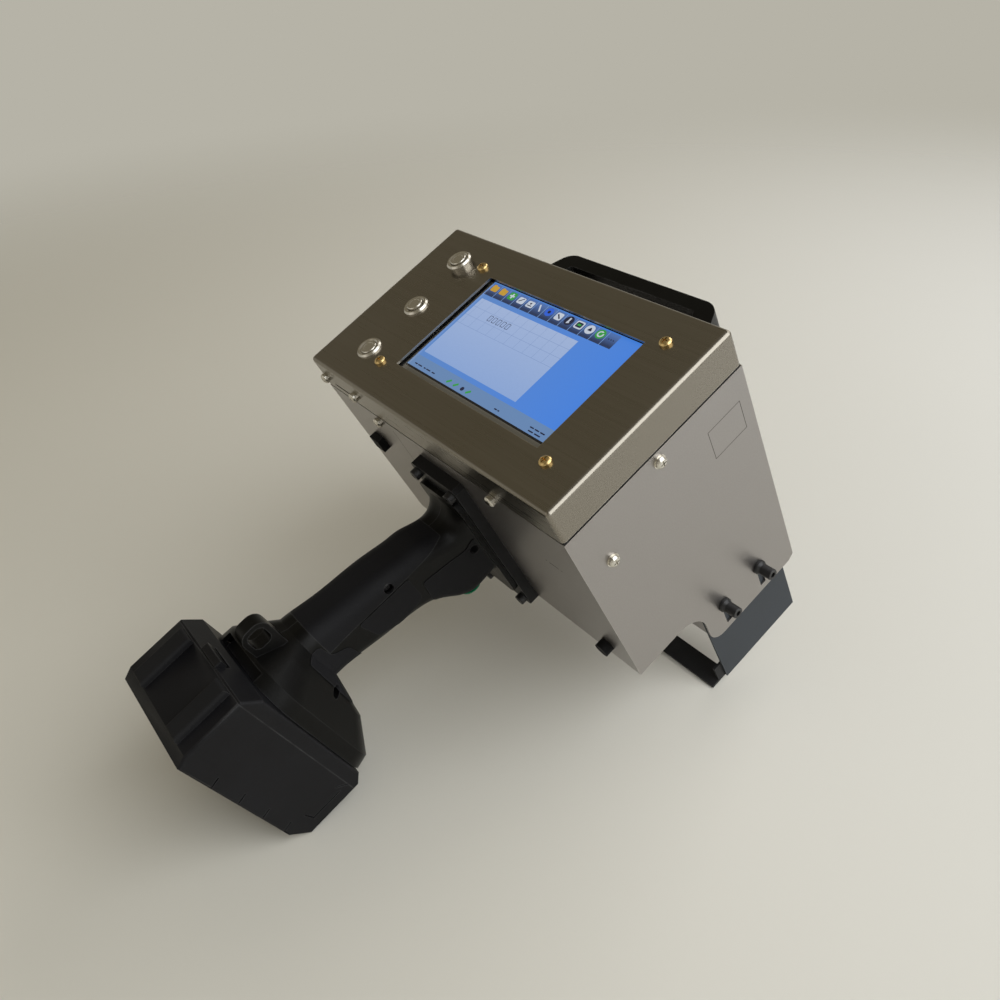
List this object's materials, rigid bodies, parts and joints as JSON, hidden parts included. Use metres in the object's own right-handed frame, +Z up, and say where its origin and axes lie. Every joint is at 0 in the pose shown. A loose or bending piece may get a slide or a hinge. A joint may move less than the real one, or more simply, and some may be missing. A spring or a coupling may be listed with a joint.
{
  "type": "date code inkjet printer",
  "caption": "Handheld large-character date code printer: stainless steel box with touch screen, drill-style grip with slide-on battery, bow handle and sheet guide.",
  "frame": {"origin": "on the surface it rests on, under the middle of its bounding box", "axes": "+Z up; +Y from the battery towards the guide and rear handle; +X across the case, to the right seen from the grip"},
  "size_m": [0.2966, 0.4508, 0.3038],
  "materials": {
    "black_oxide": "black oxide",
    "black_plate": "satin",
    "board_green": "solder mask",
    "brass": "polished",
    "brushed_stainless": "brushed",
    "button_steel": "satin",
    "cell_wrap": "shrink wrap",
    "dark_powder_coat": "satin powder coat",
    "display_frame": "plain",
    "display_glass": "lit screen",
    "green_ring": "glossy",
    "moulded_black": "satin moulded",
    "nickel": "nickel plated",
    "rubber_black": "matt",
    "tank_plastic": "translucent",
    "zinc_sheet": "zinc plated"
  },
  "bodies": {
    "case": {"top_cover": "brushed_stainless", "cover_gasket": "rubber_black", "body_shell": "brushed_stainless", "nozzle_plate": "black_plate", "print_head": "zinc_sheet", "ink_tank": "tank_plastic", "ink_pump": "moulded_black", "control_board": "board_green", "chassis_tray": "zinc_sheet", "display_module": "display_frame", "touch_glass": "display_glass", "display_bracket": "zinc_sheet", "display_screws": "brass", "button_housings": "button_steel", "button_nuts": "button_steel", "front_screws": "nickel", "spring_washers": "nickel", "end_screws": "nickel", "end_washers": "nickel", "handle_plate": "black_plate", "plate_bolts": "black_oxide", "grip_shell_left": "moulded_black", "grip_shell_right": "moulded_black", "palm_pad": "rubber_black", "grip_screws": "black_oxide", "trigger_bezel": "green_ring", "lanyard_loop": "moulded_black", "rear_handle": "moulded_black", "rear_handle_screws": "black_oxide", "square_bumper": "rubber_black", "round_bumper": "rubber_black"},
    "front_button": {"front_button_cap": "button_steel"},
    "middle_button": {"middle_button_cap": "button_steel"},
    "rear_button": {"rear_button_cap": "button_steel"},
    "trigger": {"trigger_button": "moulded_black"},
    "guide": {"guide_plate_left": "dark_powder_coat", "guide_plate_right": "dark_powder_coat", "guide_rail": "dark_powder_coat", "guide_bolts": "black_oxide", "guide_collars": "black_oxide", "guide_nuts": "nickel"},
    "battery": {"battery_case": "moulded_black", "battery_top": "moulded_black", "battery_cells": "cell_wrap", "battery_bumpers": "rubber_black"},
    "battery_latch": {"latch_button": "moulded_black"}
  },
  "joints": [
    {"name": "front_button_press", "type": "slide", "parent": "case", "child": "front_button", "axis": [0, 0.4199, -0.9076], "range_m": [0, 0.0015], "stiffness_N_per_m": 1500, "springref_m": -0.001},
    {"name": "middle_button_press", "type": "slide", "parent": "case", "child": "middle_button", "axis": [0, 0.4199, -0.9076], "range_m": [0, 0.0015], "stiffness_N_per_m": 1500, "springref_m": -0.001},
    {"name": "rear_button_press", "type": "slide", "parent": "case", "child": "rear_button", "axis": [0, 0.4199, -0.9076], "range_m": [0, 0.0015], "stiffness_N_per_m": 1500, "springref_m": -0.001},
    {"name": "trigger_press", "type": "slide", "parent": "case", "child": "trigger", "axis": [0, -0.4199, 0.9076], "range_m": [0, 0.004], "stiffness_N_per_m": 900, "springref_m": -0.002},
    {"name": "guide_height", "type": "slide", "parent": "case", "child": "guide", "axis": [0, 0.4199, -0.9076], "range_m": [0, 0.02]},
    {"name": "battery_slide", "type": "slide", "parent": "case", "child": "battery", "axis": [0, -0.4199, 0.9076], "range_m": [0, 0.11]},
    {"name": "latch_press", "type": "slide", "parent": "battery", "child": "battery_latch", "axis": [0, 0.4199, -0.9076], "range_m": [0, 0.001], "stiffness_N_per_m": 1500, "springref_m": -0.001}
  ]
}
